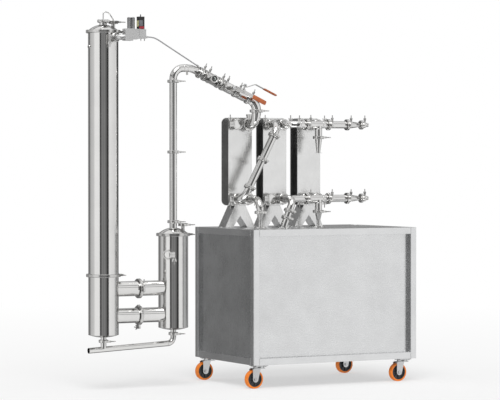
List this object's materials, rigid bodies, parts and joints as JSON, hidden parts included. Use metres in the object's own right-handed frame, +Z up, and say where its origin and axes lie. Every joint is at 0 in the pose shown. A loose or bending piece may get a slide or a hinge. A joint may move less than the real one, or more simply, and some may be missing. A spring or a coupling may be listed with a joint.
{
  "type": "alcohol evaporator",
  "caption": "Wheeled stainless evaporator skid: plate heat exchangers on a cabinet, clamped sanitary piping, a vapour vessel and a tall condenser column at the left.",
  "frame": {"origin": "on the floor, under the centre of the whole apparatus without its cable", "axes": "+X to the right as seen from the cabinet's front, +Y to the back, +Z up"},
  "size_m": [2.3356, 0.856, 2.5385],
  "materials": {
    "polished_steel": "polished, clear reflections",
    "clamp_steel": "cast and tumbled, satin",
    "cabinet_steel": "brushed sheet and tube",
    "exchanger_steel": "brushed faces, pressed sheet",
    "zinc_steel": "zinc plated, satin",
    "valve_alloy": "bead blasted",
    "black_plastic": "matte black",
    "orange_grip": "ribbed vinyl sleeve",
    "grey_cable": "matte jacket",
    "white_gasket": "smooth",
    "sight_glass": "clear",
    "wheel_hub": "near black moulded",
    "wheel_tread": "orange polyurethane",
    "pump_paint": "smooth enamel"
  },
  "bodies": {
    "apparatus": {"blank_caps": "polished_steel", "bolts": "zinc_steel", "caster_plates": "zinc_steel", "clamp_wing_nuts": "clamp_steel", "column_lid": "polished_steel", "column_lower_shell": "polished_steel", "column_upper_shell": "polished_steel", "condensate_tank": "polished_steel", "control_box": "black_plastic", "control_valve": "valve_alloy", "crossover_pipes": "polished_steel", "deck_drops": "polished_steel", "deck_panel": "cabinet_steel", "down_pipes": "polished_steel", "drain_header": "polished_steel", "exchanger_1": "exchanger_steel", "exchanger_2": "exchanger_steel", "exchanger_3": "exchanger_steel", "exchanger_stands": "exchanger_steel", "floor_panel": "cabinet_steel", "frame_posts": "cabinet_steel", "frame_rails": "cabinet_steel", "front_panel": "cabinet_steel", "gaskets": "white_gasket", "gooseneck": "polished_steel", "junction_box": "valve_alloy", "large_clamps": "clamp_steel", "lower_manifold": "polished_steel", "pipe_clamps": "clamp_steel", "sensor_cable": "grey_cable", "side_panels": "cabinet_steel", "sight_glass_body": "polished_steel", "sight_glass_window": "sight_glass", "transfer_pump": "pump_paint", "tube_bundle": "polished_steel", "upper_manifold": "polished_steel", "valve_1_body": "polished_steel", "valve_2_body": "polished_steel", "vapour_elbows": "polished_steel", "vent_loop": "polished_steel", "vessel_lid": "polished_steel", "vessel_shell": "polished_steel"},
    "caster_1": {"caster_fork_1": "zinc_steel"},
    "wheel_1": {"wheel_hub_1": "wheel_hub", "wheel_tread_1": "wheel_tread"},
    "caster_2": {"caster_fork_2": "zinc_steel"},
    "wheel_2": {"wheel_hub_2": "wheel_hub", "wheel_tread_2": "wheel_tread"},
    "caster_3": {"caster_fork_3": "zinc_steel"},
    "wheel_3": {"wheel_hub_3": "wheel_hub", "wheel_tread_3": "wheel_tread"},
    "caster_4": {"caster_fork_4": "zinc_steel"},
    "wheel_4": {"wheel_hub_4": "wheel_hub", "wheel_tread_4": "wheel_tread"},
    "valve_handle_1": {"valve_1_stem": "polished_steel", "valve_1_lever": "clamp_steel", "valve_1_grip": "orange_grip"},
    "valve_handle_2": {"valve_2_stem": "polished_steel", "valve_2_lever": "clamp_steel", "valve_2_grip": "orange_grip"}
  },
  "joints": [
    {"name": "caster_swivel_1", "type": "hinge", "parent": "apparatus", "child": "caster_1", "pos_m": [-0.05225, -0.363, 0.14], "axis": [0, 0, 1], "continuous": true},
    {"name": "wheel_spin_1", "type": "hinge", "parent": "caster_1", "child": "wheel_1", "pos_m": [-0.09025, -0.363, 0.0635], "axis": [0, 1, 0], "continuous": true},
    {"name": "caster_swivel_2", "type": "hinge", "parent": "apparatus", "child": "caster_2", "pos_m": [1.09275, -0.363, 0.14], "axis": [0, 0, 1], "continuous": true},
    {"name": "wheel_spin_2", "type": "hinge", "parent": "caster_2", "child": "wheel_2", "pos_m": [1.05475, -0.363, 0.0635], "axis": [0, 1, 0], "continuous": true},
    {"name": "caster_swivel_3", "type": "hinge", "parent": "apparatus", "child": "caster_3", "pos_m": [-0.05225, 0.363, 0.14], "axis": [0, 0, 1], "continuous": true},
    {"name": "wheel_spin_3", "type": "hinge", "parent": "caster_3", "child": "wheel_3", "pos_m": [-0.09025, 0.363, 0.0635], "axis": [0, 1, 0], "continuous": true},
    {"name": "caster_swivel_4", "type": "hinge", "parent": "apparatus", "child": "caster_4", "pos_m": [1.09275, 0.363, 0.14], "axis": [0, 0, 1], "continuous": true},
    {"name": "wheel_spin_4", "type": "hinge", "parent": "caster_4", "child": "wheel_4", "pos_m": [1.05475, 0.363, 0.0635], "axis": [0, 1, 0], "continuous": true},
    {"name": "valve_lever_1", "type": "hinge", "parent": "apparatus", "child": "valve_handle_1", "pos_m": [-0.0958, -0.016, 2.03732], "axis": [0, 1, 0], "range_deg": [0, 90]},
    {"name": "valve_lever_2", "type": "hinge", "parent": "apparatus", "child": "valve_handle_2", "pos_m": [0.00248, -0.016, 1.99253], "axis": [0.4147, 0, 0.91], "range_deg": [0, 90]}
  ]
}
